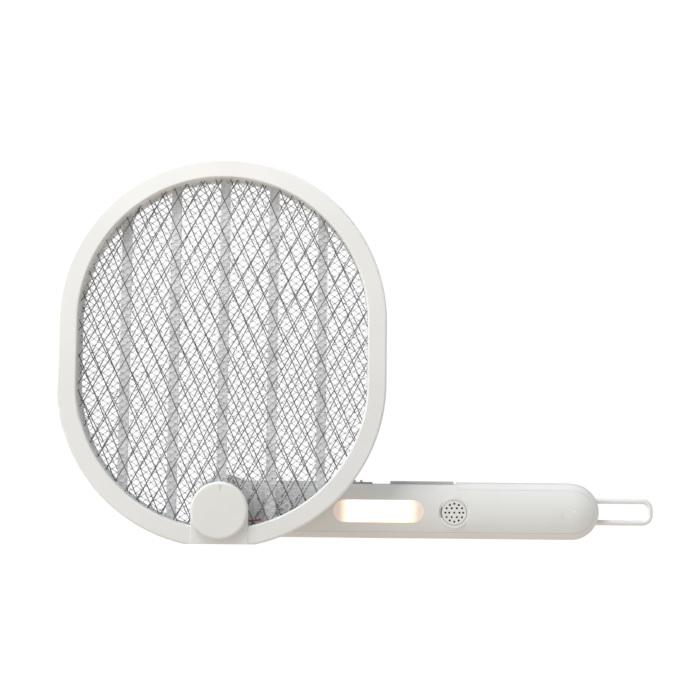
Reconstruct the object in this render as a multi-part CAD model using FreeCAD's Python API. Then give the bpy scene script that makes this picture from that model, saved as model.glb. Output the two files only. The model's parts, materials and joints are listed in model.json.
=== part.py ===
"""Folding electric fly swatter: a round-ended mesh head that turns on a handle with a lamp.

Millimetres. X runs along the handle, Y from the face of the head to the back, Z is up.
While modelling, X is counted from the fold axis, Y from the front face of the head frame
and Z from the surface that the swatter stands on. save() moves every piece to the row
frame, whose origin is the middle of the footprint of the whole swatter.
"""
import FreeCAD
import Part
import math
import os

# ---- Head: stadium outline with a flat foot -------------------------------------------
HEAD_R = 111.0
HEAD_STRAIGHT = 41.3
FACE_WIDTH = 12.9
HEAD_DEPTH = 24.0
JOINT_Y = HEAD_DEPTH / 2
FOOT_DROP = 129.0
PIVOT_DROP = 106.6
WALL = 2.0
INNER_WALL = 1.7
OUTER_ROUND = 1.6
INNER_ROUND = 1.2

HEAD_Z = FOOT_DROP
PIVOT_Z = FOOT_DROP - PIVOT_DROP
OPENING_R = HEAD_R - FACE_WIDTH
LAYER_R = OPENING_R + 3.1

# ---- Layers between the two halves of the head frame, front to back -------------------
GUARD_T = 0.8
FRONT_GUARD_Y = 7.4
SPACER_Y = FRONT_GUARD_Y + GUARD_T
HV_Y = 11.8
HV_T = 0.4
RIB_Y = HV_Y + HV_T
REAR_GUARD_Y = HEAD_DEPTH - FRONT_GUARD_Y - GUARD_T
GUARD_STRAND = 0.8
# Half width and half height of a hole, clockwise turn, and one crossing's place in the head.
FRONT_LATTICE = (5.29, 10.3, 3.7, (-1.3, 10.7))
REAR_LATTICE = (5.38, 10.22, 0.0, (0.3, 8.5))
RIB_WIDTH = 6.5
RIB_PITCH = 33.6
RIB_SHIFT = -0.3
RIB_COUNT = 5

# ---- Pivot between head and handle -----------------------------------------------------
BOSS_R = 17.2
BOSS_CLEARANCE = 0.6
CAP_R = 19.3
CAP_PROUD = 5.0
CAP_ROUND = 2.0
PAD_PROUD = 0.5
POCKET_R = 15.0
POCKET_FLOOR_Y = 7.2
REAR_POCKET_R = 16.0
REAR_POCKET_Y = 18.0
AXLE_R = 9.0
AXLE_BORE_R = 3.2
RUNNING_FIT = 0.06
RETAINER_Y = 4.9
RETAINER_T = 1.2
RETAINER_R = 12.6
DETENT_Y = 21.0
DETENT_CIRCLE_R = 12.2

# ---- Leads and screws of the head ------------------------------------------------------
LEAD_DROP_R = 14.2
LEAD_HOLE_R = 0.75
HV_ANGLE = -20.0
HV_LEAD_Y = 10.2
EARTH_ANGLE = -135.0
EARTH_LEAD_Y = SPACER_Y + 0.6
TERMINAL = (27.2, 19.0)
HEAD_SCREW_ANGLES = (-50, -15, 25, 65, 115, 155, 195, 230)
HEAD_SCREW_R = 1.25
SCREW_HEAD_R = 2.6

# ---- Handle: crowned section, round tail, hub round the pivot -------------------------
HUB_FRONT_Y = 24.4
HANDLE_FRONT_Y = 24.9
HANDLE_DEPTH = 31.5
HANDLE_REAR_Y = HANDLE_FRONT_Y + HANDLE_DEPTH
HANDLE_MID_Y = HANDLE_FRONT_Y + HANDLE_DEPTH / 2
HALF_HEIGHT = 19.4
CROWN_R = 30.0
SHOULDER_R = 9.0
TAIL_X = 240.4
HUB_R = 22.8
HUB_ROUND = 3.0
HUB_REAR_Y = HANDLE_REAR_Y - 0.5

COVER_START_X = 28.0
COVER_HALF = 14.6
COVER_DEPTH_Y = HANDLE_FRONT_Y + 9.5
SEAM = 0.08

# ---- Controls on the upper edge --------------------------------------------------------
DECK_START_X = 80.0
DECK_END_X = 161.3
DECK_TOP = 17.9
DECK_T = 4.0
KEY_FRONT_Y = HANDLE_FRONT_Y + 11.4
KEY_BACK_Y = HANDLE_FRONT_Y + 19.0
KEY_MID_Y = (KEY_FRONT_Y + KEY_BACK_Y) / 2
BUTTON_X = (115.2, 159.1)
BUTTON_TRAVEL = 1.3
BUTTON_FOOT = 17.3
BUTTON_TOP = 20.0
KNOB_X = (86.8, 102.8)
KNOB_TRAVEL = 9.0
KNOB_TOP = 19.15
KNOB_RIDGES = (90.3, 95.0)
KNOB_RIDGE_TOP = 20.5
PLUNGER_R = 1.5
BUTTON_PLUNGER_X = 137.0
STEM_X = (90.5, 94.0)

# ---- Lamp, perforated cap and charge light on the front -------------------------------
LAMP_X = (75.6, 138.3)
LAMP_R = 7.8
LAMP_DROP = 0.4
LENS_GAP = 0.12
LED_BOARD_Y = HANDLE_FRONT_Y + 9.0
CAP_X = 158.9
CAP_DROP = 1.0
GRILLE_R = 8.5
GRILLE_RECESS_R = 8.7
PLATFORM_R = 10.6
GRILLE_FACE_Y = HANDLE_FRONT_Y + 0.8
GRILLE_FLOOR_Y = HANDLE_FRONT_Y + 3.4
GRILLE_HOLE_R = 0.73
GRILLE_RINGS = ((6, 3.5), (12, 6.1))
LIGHT_X = 233.0
LIGHT_DROP = 2.4

# ---- Hanging loop ----------------------------------------------------------------------
LOOP_END_X = 298.2
LOOP_HALF = 9.3
LOOP_BAR_R = 1.85
LOOP_CORNER_R = 7.3
LOOP_ROOT_X = 240.6
GUIDE_X = (243.4, 249.6)

# ---- Inside the handle -----------------------------------------------------------------
BATTERY_R = 9.2
BATTERY_X = (113.0, 178.0)
BATTERY_Y = 45.0
CONTACT_T = 0.5
CONTACT_HALF = 6.0
MAIN_BOARD_X = (34.0, 106.0)
MAIN_BOARD_Y = (48.6, 50.2)
MAIN_BOARD_HALF = 8.5
TRANSFORMER_X = (36.0, 54.0)
TRANSFORMER_Y = (33.0, 48.6)
TRANSFORMER_HALF = 8.0
CAPACITOR_R = 5.0
CAPACITOR_X = 64.0
CAPACITOR_HALF = 7.0
CHARGE_BOARD_X = (189.6, 204.0)
CHARGE_BOARD_Y = (49.0, 50.2)
CHARGE_BOARD_HALF = 8.0
SOCKET_X = 195.0
SOCKET_HALF = (4.5, 1.6)
SOCKET_WALL = 0.35
AXLE_LEAD_R = 0.7
AXLE_LEAD_APART = 1.4
SCREW_SPLIT_Y = 38.0
SCREW_SEAT_Y = 51.0
SCREW_SPOTS = ((60.0, 12.0), (60.0, -12.0), (186.0, 12.0), (186.0, -12.0), (224.0, 0.0))

# ---- Row frame: origin under the middle of the whole swatter ---------------------------
MID_X = (LOOP_END_X - HEAD_R) / 2
MID_Y = (HANDLE_REAR_Y - CAP_PROUD) / 2


def vec(x, y, z):
    return FreeCAD.Vector(x, y, z)


def save(name, *pieces):
    """Write one node; several pieces stay separate solids in it."""
    shape = pieces[0] if len(pieces) == 1 else Part.makeCompound(list(pieces))
    shape = shape.copy()
    shape.translate(vec(-MID_X, -MID_Y, 0))
    shape.exportStep(f"parts/{name}.step")


# ---- Basic solids ----------------------------------------------------------------------
def block(xs, ys, zs):
    corner = vec(xs[0], ys[0], zs[0])
    return Part.makeBox(xs[1] - xs[0], ys[1] - ys[0], zs[1] - zs[0], corner)


def disc(radius, ys, x=0.0, z=PIVOT_Z):
    """Cylinder along Y."""
    return Part.makeCylinder(radius, ys[1] - ys[0], vec(x, ys[0], z), vec(0, 1, 0))


def ring(outer, inner, ys, x=0.0, z=PIVOT_Z):
    return disc(outer, ys, x, z).cut(disc(inner, ys, x, z))


def bar(radius, xs, y, z):
    """Cylinder along X."""
    return Part.makeCylinder(radius, xs[1] - xs[0], vec(xs[0], y, z), vec(1, 0, 0))


def stud(radius, zs, x, y):
    """Cylinder along Z."""
    return Part.makeCylinder(radius, zs[1] - zs[0], vec(x, y, zs[0]), vec(0, 0, 1))


def around(radius, angle, y):
    """Point at an angle round the fold axis, counted from +X towards +Z."""
    turn = math.radians(angle)
    return vec(radius * math.cos(turn), y, PIVOT_Z + radius * math.sin(turn))


def lead(points, radius=0.6):
    """Round wire through the points, with a ball at each bend."""
    solid = None
    for start, end in zip(points, points[1:]):
        run = end - start
        piece = Part.makeCylinder(radius, run.Length, start, run)
        solid = piece if solid is None else solid.fuse(piece)
    for bend in points[1:-1]:
        solid = solid.fuse(Part.makeSphere(radius, bend))
    return solid


def round_edges_at(solid, y, radius, reach):
    """Round the edges in the plane at depth y that stay within reach of X = 0."""
    edges = []
    for edge in solid.Edges:
        box = edge.BoundBox
        flat = abs(box.YMin - y) < 1e-3 and abs(box.YMax - y) < 1e-3
        if flat and max(abs(box.XMin), abs(box.XMax)) < reach + 0.1:
            edges.append(edge)
    return solid.makeFillet(radius, edges)


# ---- Head outline ----------------------------------------------------------------------
def head_outline(radius, y):
    """Stadium round the head centre: two half circles joined by short straight sides."""
    top = HEAD_Z + HEAD_STRAIGHT / 2
    low = HEAD_Z - HEAD_STRAIGHT / 2
    sides = [
        Part.LineSegment(vec(-radius, y, low), vec(-radius, y, top)),
        Part.Arc(vec(-radius, y, top), vec(0, y, top + radius), vec(radius, y, top)),
        Part.LineSegment(vec(radius, y, top), vec(radius, y, low)),
        Part.Arc(vec(radius, y, low), vec(0, y, low - radius), vec(-radius, y, low)),
    ]
    return Part.Wire([side.toShape() for side in sides])


def head_plate(radius, ys):
    return Part.Face(head_outline(radius, ys[0])).extrude(vec(0, ys[1] - ys[0], 0))


def head_ring(outer, inner, ys):
    return head_plate(outer, ys).cut(head_plate(inner, ys))


def head_point(radius, angle):
    """Point on the head outline, at an angle round the nearer end of the stadium."""
    turn = math.radians(angle)
    shift = math.copysign(HEAD_STRAIGHT / 2, math.sin(turn))
    return radius * math.cos(turn), HEAD_Z + shift + radius * math.sin(turn)


def above(solid, level):
    """Part of a solid above a level."""
    return solid.common(block((-200, 350), (-50, 100), (level, 400)))


# ---- Head frame ------------------------------------------------------------------------
def head_screw_spots():
    return [head_point(HEAD_R - WALL - 3.6, angle) for angle in HEAD_SCREW_ANGLES]


def frame_shell(face_y, seat_y):
    """Hollow half frame from its outer face to the joint plane, without its bosses."""
    inward = math.copysign(1.0, JOINT_Y - face_y)
    full = sorted((face_y, JOINT_Y))
    hollow = sorted((face_y + inward * WALL, JOINT_Y))
    seat = sorted((seat_y, JOINT_Y))
    shell = round_edges_at(head_plate(HEAD_R, full), face_y, OUTER_ROUND, HEAD_R)
    shell = shell.cut(head_plate(OPENING_R, full))
    shell = above(round_edges_at(shell, face_y, INNER_ROUND, OPENING_R), 0.0)
    channel = head_ring(HEAD_R - WALL, OPENING_R + INNER_WALL, hollow)
    shell = shell.cut(above(channel, WALL))
    return shell.cut(head_ring(OPENING_R + INNER_WALL + 0.1, OPENING_R - 1, seat))


def lead_passage():
    """Holes for the two leads: back through the boss, then out through its wall."""
    holes = []
    for angle, depth in ((HV_ANGLE, HV_LEAD_Y), (EARTH_ANGLE, EARTH_LEAD_Y)):
        route = [around(LEAD_DROP_R, angle, 0), around(LEAD_DROP_R, angle, depth)]
        route.append(around(BOSS_R + 1, angle, depth))
        holes.append(lead(route, LEAD_HOLE_R))
    return holes


def head_front_bezel():
    """Visible half of the frame, with the raised pad and the pocket for the cap."""
    shell = frame_shell(0.0, FRONT_GUARD_Y)
    pad = disc(CAP_R, (-PAD_PROUD, WALL))
    pad = pad.fuse(block((-CAP_R, CAP_R), (-PAD_PROUD, WALL), (0, PIVOT_Z)))
    shell = shell.fuse(round_edges_at(pad, -PAD_PROUD, PAD_PROUD - 0.1, CAP_R))
    shell = shell.fuse(disc(BOSS_R, (0, JOINT_Y)))
    for x, z in head_screw_spots():
        shell = shell.fuse(disc(3.0, (WALL, JOINT_Y), x, z))
        shell = shell.cut(disc(HEAD_SCREW_R + 0.05, (4.5, JOINT_Y), x, z))
    shell = shell.cut(disc(POCKET_R, (-PAD_PROUD, POCKET_FLOOR_Y)))
    shell = shell.cut(disc(AXLE_R + RUNNING_FIT, (0, JOINT_Y)))
    for hole in lead_passage():
        shell = shell.cut(hole)
    return shell


def head_rear_frame():
    """Back half of the frame, with the screw tubes and the pocket for the detent."""
    shell = frame_shell(HEAD_DEPTH, REAR_GUARD_Y + GUARD_T)
    shell = shell.fuse(disc(BOSS_R, (JOINT_Y, HEAD_DEPTH)))
    for x, z in head_screw_spots():
        shell = shell.fuse(disc(3.2, (JOINT_Y, HEAD_DEPTH - WALL), x, z))
        shell = shell.cut(disc(HEAD_SCREW_R + 0.3, (JOINT_Y, HEAD_DEPTH), x, z))
        shell = shell.cut(disc(SCREW_HEAD_R + 0.3, (HEAD_DEPTH - 3, HEAD_DEPTH), x, z))
    shell = shell.cut(disc(REAR_POCKET_R, (REAR_POCKET_Y, HEAD_DEPTH)))
    return shell.cut(disc(AXLE_R + RUNNING_FIT, (JOINT_Y, HEAD_DEPTH)))


def head_screws():
    tip, seat = HEAD_DEPTH - 18.5, HEAD_DEPTH - 3
    screws = []
    for x, z in head_screw_spots():
        shank = disc(HEAD_SCREW_R, (tip, seat), x, z)
        screws.append(shank.fuse(disc(SCREW_HEAD_R, (seat, seat + 1.8), x, z)))
    return screws


# ---- Meshes ----------------------------------------------------------------------------
def clip_to_opening(corners, radius):
    """Clip a polygon of (x, z) corners to the stadium of this radius, side by side."""
    step = 4
    rim = [head_point(radius, angle) for angle in range(1, 360, step)]
    for (ax, az), (bx, bz) in zip(rim, rim[1:] + rim[:1]):
        kept = []
        for (px, pz), (qx, qz) in zip(corners, corners[1:] + corners[:1]):
            p_in = (bx - ax) * (pz - az) - (bz - az) * (px - ax)
            q_in = (bx - ax) * (qz - az) - (bz - az) * (qx - ax)
            if p_in >= 0:
                kept.append((px, pz))
            if p_in * q_in < 0:
                share = p_in / (p_in - q_in)
                kept.append((px + share * (qx - px), pz + share * (qz - pz)))
        corners = kept
    return corners


def area(corners):
    pairs = zip(corners, corners[1:] + corners[:1])
    return abs(sum(px * qz - qx * pz for (px, pz), (qx, qz) in pairs)) / 2


def diamond(lattice, row, column):
    """Corners of one hole of a guard, turned a little with the whole sheet."""
    half_x, half_z, turn, middle = lattice
    to_side = half_x * half_z / math.hypot(half_x, half_z)
    size = 1 - GUARD_STRAND / 2 / to_side
    cos, sin = math.cos(math.radians(turn)), math.sin(math.radians(turn))
    x = half_x * (2 * column + (row + 1) % 2)
    z = half_z * row
    corners = []
    for dx, dz in ((half_x, 0), (0, half_z), (-half_x, 0), (0, -half_z)):
        px, pz = x + size * dx, z + size * dz
        corners.append((middle[0] + px * cos + pz * sin, HEAD_Z + middle[1] + pz * cos - px * sin))
    return corners


def guard_holes(lattice):
    """Diamond holes inside the opening and clear of the boss."""
    rows = round(HEAD_R * 1.4 / lattice[1])
    columns = round(HEAD_R * 0.7 / lattice[0])
    holes = []
    for row in range(-rows, rows + 1):
        for column in range(-columns, columns + 1):
            corners = clip_to_opening(diamond(lattice, row, column), OPENING_R - 0.6)
            if len(corners) < 3 or area(corners) < 4:
                continue
            if min(math.hypot(x, z - PIVOT_Z) for x, z in corners) < BOSS_R + 2.2:
                continue
            holes.append(corners)
    return holes


def guard_mesh(y, lattice):
    """Diamond mesh with a plain rim, open round the boss."""
    wires = [head_outline(LAYER_R, y)]
    for corners in guard_holes(lattice):
        points = [vec(x, y, z) for x, z in corners]
        wires.append(Part.makePolygon(points + points[:1]))
    sheet = Part.makeFace(wires, "Part::FaceMakerCheese")
    sheet = sheet.extrude(vec(0, GUARD_T, 0))
    return sheet.cut(disc(BOSS_R + BOSS_CLEARANCE, (y - 1, y + GUARD_T + 1)))


def layer_ring(ys):
    """Insulating ring that keeps two layers apart."""
    rim = head_ring(LAYER_R, OPENING_R + 0.2, ys)
    return rim.cut(disc(BOSS_R + BOSS_CLEARANCE, ys))


def hv_mesh():
    """Fine live mesh, as a plain thin sheet."""
    sheet = head_plate(LAYER_R - 0.6, (HV_Y, HV_Y + HV_T))
    return sheet.cut(disc(BOSS_R + 2.0, (HV_Y, HV_Y + HV_T)))


def rib_frame():
    """Rear insulating ring with five upright ribs across the opening."""
    ys = (RIB_Y, REAR_GUARD_Y)
    frame = layer_ring(ys)
    inside = head_plate(OPENING_R + 1.0, ys).cut(disc(BOSS_R + BOSS_CLEARANCE, ys))
    for index in range(RIB_COUNT):
        x = RIB_PITCH * (index - (RIB_COUNT - 1) / 2) + RIB_SHIFT
        rib = block((x - RIB_WIDTH / 2, x + RIB_WIDTH / 2), ys, (0, 2 * HEAD_Z))
        frame = frame.fuse(rib.common(inside))
    return frame


# ---- Pivot -----------------------------------------------------------------------------
def pivot_cap():
    """Round cover disc with an index mark and a spigot that fits the pocket."""
    cap = round_edges_at(disc(CAP_R, (-CAP_PROUD, -PAD_PROUD)), -CAP_PROUD, CAP_ROUND, CAP_R)
    spigot = ring(POCKET_R - 0.1, POCKET_R - 1.6, (-PAD_PROUD, 1.8))
    mark = block((0.2, 1.2), (-CAP_PROUD, -CAP_PROUD + 0.5), (PIVOT_Z + 13.2, PIVOT_Z + 17.0))
    return cap.fuse(spigot).cut(mark)


def contact_board():
    """Small board in the cap's spigot, with the two slip rings of the leads."""
    board = disc(POCKET_R - 1.7, (0.4, 1.6))
    inner = ring(3.4, 2.0, (1.6, 1.8))
    outer = ring(6.8, 5.4, (1.6, 1.8))
    return [board, inner, outer]


def head_lead(angle, depth, ends):
    """Lead from the contact board, back through the boss and on to its mesh."""
    route = [
        around(11.5, angle, 2.6),
        around(LEAD_DROP_R, angle, 2.6),
        around(LEAD_DROP_R, angle, depth),
    ]
    return lead(route + ends)


def hv_terminal():
    """Screw on a round lug, against the live mesh."""
    x, z = TERMINAL
    lug = disc(2.6, (HV_Y - 0.6, HV_Y), x, z)
    return lug.fuse(disc(2.0, (HV_Y - 2.2, HV_Y - 0.6), x, z))


def axle():
    """Hollow axle with a flange inside the hub; the leads pass through it."""
    shaft = disc(AXLE_R, (RETAINER_Y + RETAINER_T, HUB_FRONT_Y + 4.6))
    flange = disc(14.0, (HUB_FRONT_Y + 2.6, HUB_FRONT_Y + 4.6))
    shaft = shaft.fuse(flange).cut(disc(AXLE_BORE_R, (0, 40)))
    for x, z in retainer_screw_spots():
        shaft = shaft.cut(disc(1.05, (0, RETAINER_Y + 7), x, z))
    return shaft


def retainer_screw_spots():
    spots = [around(6.2, angle, 0) for angle in (90, 210, 330)]
    return [(spot.x, spot.z) for spot in spots]


def retainer_plate():
    """Washer on the axle's end that holds the head on."""
    plate = ring(RETAINER_R, AXLE_BORE_R, (RETAINER_Y, RETAINER_Y + RETAINER_T))
    for x, z in retainer_screw_spots():
        plate = plate.cut(disc(1.05, (0, 10), x, z))
    return plate


def retainer_screws():
    screws = []
    for x, z in retainer_screw_spots():
        shank = disc(1.0, (RETAINER_Y, RETAINER_Y + 6), x, z)
        screws.append(shank.fuse(disc(1.8, (RETAINER_Y - 1.2, RETAINER_Y), x, z)))
    return screws


def spring_washer():
    y = RETAINER_Y + RETAINER_T
    return ring(RETAINER_R - 0.2, AXLE_R + 0.1, (y, y + 0.8))


def detent_bumps(radius):
    centres = [around(DETENT_CIRCLE_R, angle, DETENT_Y - 2.1) for angle in (0, 90, 180, 270)]
    return [Part.makeSphere(radius, centre) for centre in centres]


def detent_disc():
    """Ring on the hub with a dimple at every quarter turn."""
    plate = ring(14.8, AXLE_R + 0.05, (DETENT_Y, HUB_FRONT_Y))
    for dimple in detent_bumps(2.6):
        plate = plate.cut(dimple)
    return plate


def detent_leaf():
    """Spring ring in the head with a bump at every quarter turn."""
    leaf = ring(15.8, AXLE_R + 0.5, (REAR_POCKET_Y, REAR_POCKET_Y + 0.7))
    for bump in detent_bumps(1.8):
        leaf = leaf.fuse(bump)
    return leaf.cut(disc(20, (10, REAR_POCKET_Y)))


# ---- Handle shells ---------------------------------------------------------------------
def section_points(inset):
    """Depths and heights of the crowned section's arcs, for one quarter of it."""
    crown = CROWN_R - inset
    shoulder = SHOULDER_R - inset
    crown_y = HANDLE_FRONT_Y + CROWN_R
    shoulder_z = HALF_HEIGHT - SHOULDER_R
    between = CROWN_R - SHOULDER_R
    shoulder_y = crown_y - math.sqrt(between**2 - shoulder_z**2)
    along_y = (shoulder_y - crown_y) / between
    along_z = shoulder_z / between
    meet = (crown_y + crown * along_y, crown * along_z)
    bend = math.atan2(along_z, -along_y) / 2 + math.pi / 4
    middle = (shoulder_y - shoulder * math.cos(bend), shoulder_z + shoulder * math.sin(bend))
    top = (shoulder_y, shoulder_z + shoulder)
    return (crown_y - crown, 0.0), meet, middle, top


def section_half(x, inset):
    """Edges of the upper half of the section, from the front apex to the rear apex."""
    apex, meet, middle, top = section_points(inset)

    def at(point, mirrored):
        y = 2 * HANDLE_MID_Y - point[0] if mirrored else point[0]
        return vec(x, y, PIVOT_Z + point[1])

    crown = CROWN_R - inset
    half_turn = math.asin(meet[1] / crown) / 2
    crown_mid = (apex[0] + crown * (1 - math.cos(half_turn)), crown * math.sin(half_turn))
    edges = []
    for mirrored in (False, True):
        edges.append(Part.Arc(at(apex, mirrored), at(crown_mid, mirrored), at(meet, mirrored)))
        edges.append(Part.Arc(at(meet, mirrored), at(middle, mirrored), at(top, mirrored)))
    edges.append(Part.LineSegment(at(top, False), at(top, True)))
    return [edge.toShape() for edge in edges], at(apex, False), at(apex, True)


def handle_solid(inset, tail_x=TAIL_X):
    """Straight run of the section, closed by half a turn of it at the tail."""
    edges, front, rear = section_half(0.0, inset)
    spine = Part.LineSegment(front, rear).toShape()
    half = Part.Face(Part.Wire(Part.__sortEdges__(edges + [spine])))
    lower = half.mirror(vec(0, 0, PIVOT_Z), vec(0, 0, 1))
    run = half.extrude(vec(tail_x, 0, 0)).fuse(lower.extrude(vec(tail_x, 0, 0)))
    half.translate(vec(tail_x, 0, 0))
    tail = half.revolve(vec(tail_x, 0, PIVOT_Z), vec(0, 1, 0), 180)
    return run.fuse(tail).removeSplitter()


def hub_solid(radius, ys, rounding):
    hub = disc(radius, ys)
    for y in ys:
        hub = round_edges_at(hub, y, rounding, radius)
    return hub


def handle_outside():
    hub = hub_solid(HUB_R, (HUB_FRONT_Y, HUB_REAR_Y), HUB_ROUND)
    return above(handle_solid(0.0).fuse(hub), 0.0)


def handle_inside(inset=WALL):
    ys = (HUB_FRONT_Y + inset + 0.6, HUB_REAR_Y - inset)
    hub = hub_solid(PIVOT_Z - inset, ys, 1.5)
    return handle_solid(inset).fuse(hub)


def cover_zone(grow=0.0):
    """Space taken by the front cover, seen from the front."""
    ys = (HUB_FRONT_Y - 5, COVER_DEPTH_Y + grow)
    half = COVER_HALF + grow
    start = COVER_START_X - grow
    zone = block((start, TAIL_X), ys, (PIVOT_Z - half, PIVOT_Z + half))
    zone = zone.fuse(disc(half, ys, TAIL_X, PIVOT_Z))
    strip = block((start, DECK_END_X + grow), ys, (PIVOT_Z, PIVOT_Z + DECK_TOP + grow))
    return zone.fuse(strip)


def deck_opening():
    """Flat cut along the upper edge, right through, for the controls."""
    ys = (HUB_FRONT_Y - 5, HANDLE_REAR_Y + 5)
    return block((DECK_START_X, DECK_END_X), ys, (PIVOT_Z + DECK_TOP, PIVOT_Z + 30))


def lamp_plate(radius, ys):
    """Stadium lying along the handle, for the lamp's window and its frame."""
    z = PIVOT_Z - LAMP_DROP
    first = LAMP_X[0] + LAMP_R
    last = LAMP_X[1] - LAMP_R
    middle = block((first, last), ys, (z - radius, z + radius))
    return middle.fuse(disc(radius, ys, first, z)).fuse(disc(radius, ys, last, z))


def screw_posts(radius, ys):
    return [disc(radius, ys, x, PIVOT_Z + z) for x, z in SCREW_SPOTS]


def grille_z():
    return PIVOT_Z - CAP_DROP


def nail_slot(ys):
    """Curved slot at one side of the perforated cap, for a fingernail."""
    arc = ring(GRILLE_RECESS_R + 0.9, GRILLE_RECESS_R - 0.1, ys, CAP_X, grille_z())
    keep = block((CAP_X - 12, CAP_X), ys, (grille_z() - 3.5, grille_z() + 3.5))
    return arc.common(keep)


def handle_front_cover():
    """Front cover with the lamp window and the socket for the perforated cap."""
    wall = handle_outside().cut(handle_inside())
    cover = wall.common(cover_zone())
    cup = disc(PLATFORM_R, (GRILLE_FACE_Y, GRILLE_FLOOR_Y + 2.0), CAP_X, grille_z())
    cup = round_edges_at(cup, GRILLE_FACE_Y, 0.3, CAP_X + PLATFORM_R)
    cover = cover.cut(disc(PLATFORM_R, (HUB_FRONT_Y, GRILLE_FACE_Y), CAP_X, grille_z())).fuse(cup)
    for post in screw_posts(2.4, (HANDLE_FRONT_Y + 1.2, SCREW_SPLIT_Y)):
        cover = cover.fuse(post.common(handle_inside(1.0)))
    for hole in screw_posts(1.15, (SCREW_SPLIT_Y - 7, SCREW_SPLIT_Y + 1)):
        cover = cover.cut(hole)
    cover = cover.cut(lamp_plate(LAMP_R, (HUB_FRONT_Y, COVER_DEPTH_Y + 1)))
    cover = cover.cut(disc(GRILLE_RECESS_R, (HUB_FRONT_Y, GRILLE_FLOOR_Y), CAP_X, grille_z()))
    cover = cover.cut(disc(7.6, (HUB_FRONT_Y, COVER_DEPTH_Y), CAP_X, grille_z()))
    cover = cover.cut(nail_slot((HUB_FRONT_Y, GRILLE_FLOOR_Y)))
    return cover.cut(light_slot(0.0))


def light_slot(gap):
    ys = (HUB_FRONT_Y, HANDLE_FRONT_Y + 3.2)
    z = PIVOT_Z - LIGHT_DROP
    return block((LIGHT_X - 0.6 + gap, LIGHT_X + 0.6 - gap), ys, (z - 2.1 + gap, z + 2.1 - gap))


def handle_rear_shell():
    """Tub with the hub, the tail and the back, and the tubes for the screws."""
    shell = handle_outside().cut(handle_inside())
    shell = shell.cut(cover_zone(SEAM))
    shell = shell.cut(deck_opening()).cut(button_well()).cut(knob_slot())
    for tube in screw_posts(3.2, (SCREW_SPLIT_Y + 0.1, HANDLE_REAR_Y - 1)):
        shell = shell.fuse(tube.common(handle_inside(1.0)))
    for hole in screw_posts(1.4, (SCREW_SPLIT_Y, HANDLE_REAR_Y + 1)):
        shell = shell.cut(hole)
    for hole in screw_posts(SCREW_HEAD_R + 0.3, (SCREW_SEAT_Y, HANDLE_REAR_Y + 1)):
        shell = shell.cut(hole)
    shell = shell.cut(disc(AXLE_R + 0.05, (HUB_FRONT_Y - 1, HUB_FRONT_Y + 5)))
    for z in loop_legs():
        shell = shell.cut(bar(LOOP_BAR_R + 0.35, (GUIDE_X[1], LOOP_END_X), HANDLE_MID_Y, z))
    return shell.cut(socket_mouth(0.15))


def handle_screws():
    screws = []
    for x, z in SCREW_SPOTS:
        shank = disc(1.1, (SCREW_SPLIT_Y - 6, SCREW_SEAT_Y), x, PIVOT_Z + z)
        head = disc(SCREW_HEAD_R, (SCREW_SEAT_Y, SCREW_SEAT_Y + 1.8), x, PIVOT_Z + z)
        screws.append(shank.fuse(head))
    return screws


# ---- Lamp ------------------------------------------------------------------------------
def lamp_lens():
    """Window flush with the crowned front."""
    wall = handle_outside().cut(handle_inside(WALL + 0.3))
    return wall.common(lamp_plate(LAMP_R - LENS_GAP, (HUB_FRONT_Y - 1, COVER_DEPTH_Y)))


def lamp_reflector():
    """Open tray behind the window."""
    ys = (HANDLE_FRONT_Y + 4.0, LED_BOARD_Y)
    return lamp_plate(LAMP_R + 0.8, ys).cut(lamp_plate(LAMP_R - 0.4, ys))


def led_board():
    return lamp_plate(LAMP_R + 0.8, (LED_BOARD_Y, LED_BOARD_Y + 1.2))


def lamp_leds():
    chips = []
    count = 6
    pitch = (LAMP_X[1] - LAMP_X[0] - 14) / (count - 1)
    z = PIVOT_Z - LAMP_DROP
    for index in range(count):
        x = LAMP_X[0] + 7 + index * pitch
        chips.append(block((x - 1.75, x + 1.75), (LED_BOARD_Y - 0.9, LED_BOARD_Y), (z - 1.4, z + 1.4)))
    return chips


# ---- Perforated cap --------------------------------------------------------------------
def grille_cap():
    """Perforated disc on a short skirt that turns in the cover."""
    z = grille_z()
    cap = disc(GRILLE_R, (GRILLE_FACE_Y, GRILLE_FLOOR_Y - 0.3), CAP_X, z)
    cap = round_edges_at(cap, GRILLE_FACE_Y, 0.5, CAP_X + GRILLE_R)
    cap = cap.fuse(ring(7.2, 6.9, (GRILLE_FLOOR_Y - 0.3, GRILLE_FLOOR_Y + 2.6), CAP_X, z))
    holes = [(0.0, 0.0)]
    for count, radius in GRILLE_RINGS:
        for index in range(count):
            turn = 2 * math.pi * index / count
            holes.append((radius * math.cos(turn), radius * math.sin(turn)))
    for dx, dz in holes:
        cap = cap.cut(disc(GRILLE_HOLE_R, (GRILLE_FACE_Y, GRILLE_FLOOR_Y), CAP_X + dx, z + dz))
    return cap


def lure_pad():
    """Round scent pad under the perforated cap."""
    return disc(6.4, (GRILLE_FLOOR_Y + 0.2, GRILLE_FLOOR_Y + 2.4), CAP_X, grille_z())


def lure_tray():
    """Cup that holds the scent pad, fixed behind the cover."""
    z = grille_z()
    cup = disc(9.4, (GRILLE_FLOOR_Y + 2.1, GRILLE_FLOOR_Y + 5.4), CAP_X, z)
    return cup.cut(disc(8.2, (GRILLE_FLOOR_Y + 2.1, GRILLE_FLOOR_Y + 4.4), CAP_X, z))


# ---- Controls --------------------------------------------------------------------------
def button_well():
    """Space round and under the button, down to the end of its travel."""
    xs = (BUTTON_X[0] - 0.3, BUTTON_X[1] + 0.3)
    ys = (KEY_FRONT_Y - 0.3, KEY_BACK_Y + 0.3)
    floor = PIVOT_Z + BUTTON_FOOT - BUTTON_TRAVEL - 0.4
    return block(xs, ys, (floor, PIVOT_Z + DECK_TOP))


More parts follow.
